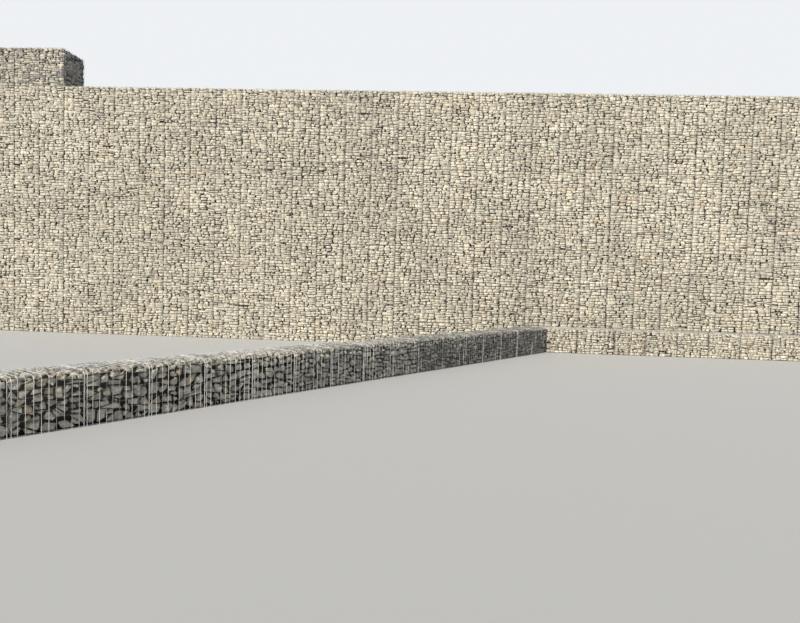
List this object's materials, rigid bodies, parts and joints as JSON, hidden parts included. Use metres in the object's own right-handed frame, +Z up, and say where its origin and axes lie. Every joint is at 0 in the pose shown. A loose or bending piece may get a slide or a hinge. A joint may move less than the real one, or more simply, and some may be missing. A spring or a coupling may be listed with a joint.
{
  "type": "gabion wall",
  "caption": "Terraced gabion wall of stone-filled welded-mesh baskets in courses, with a stepped back and a low wall at its foot that turns out in front.",
  "frame": {"origin": "on the ground, at the middle of the whole footprint", "axes": "+X along the tall wall, -Y out of its front face, +Z up"},
  "size_m": [24.316, 14.7464, 7.433],
  "materials": {
    "stone": "rough quarried stone",
    "wire": "dull galvanised"
  },
  "bodies": {
    "root": {"back_mesh_left": "wire", "back_mesh_middle": "wire", "back_mesh_right": "wire", "crest_lid_mesh": "wire", "front_mesh_left": "wire", "front_mesh_middle": "wire", "front_mesh_right": "wire", "left_end_mesh": "wire", "low_corner_fill": "stone", "low_corner_mesh": "wire", "low_foot_fill": "stone", "low_foot_mesh": "wire", "low_leg_fill_1": "stone", "low_leg_fill_2": "stone", "low_leg_fill_3": "stone", "low_leg_mesh_1": "wire", "low_leg_mesh_2": "wire", "low_leg_mesh_3": "wire", "raised_lid_mesh": "wire", "right_end_mesh": "wire", "stone_fill_course_0_left": "stone", "stone_fill_course_0_middle": "stone", "stone_fill_course_0_right": "stone", "stone_fill_course_1_left": "stone", "stone_fill_course_1_middle": "stone", "stone_fill_course_1_right": "stone", "stone_fill_course_2_left": "stone", "stone_fill_course_2_middle": "stone", "stone_fill_course_2_right": "stone", "stone_fill_course_3_left": "stone", "stone_fill_course_3_middle": "stone", "stone_fill_course_3_right": "stone", "stone_fill_course_4_left": "stone", "stone_fill_course_4_middle": "stone", "stone_fill_course_4_right": "stone", "stone_fill_course_5_left": "stone", "stone_fill_course_5_middle": "stone", "stone_fill_course_5_right": "stone", "stone_fill_course_6_left": "stone", "stone_fill_course_6_middle": "stone", "stone_fill_course_6_right": "stone", "stone_fill_raised_course": "stone"}
  },
  "joints": []
}
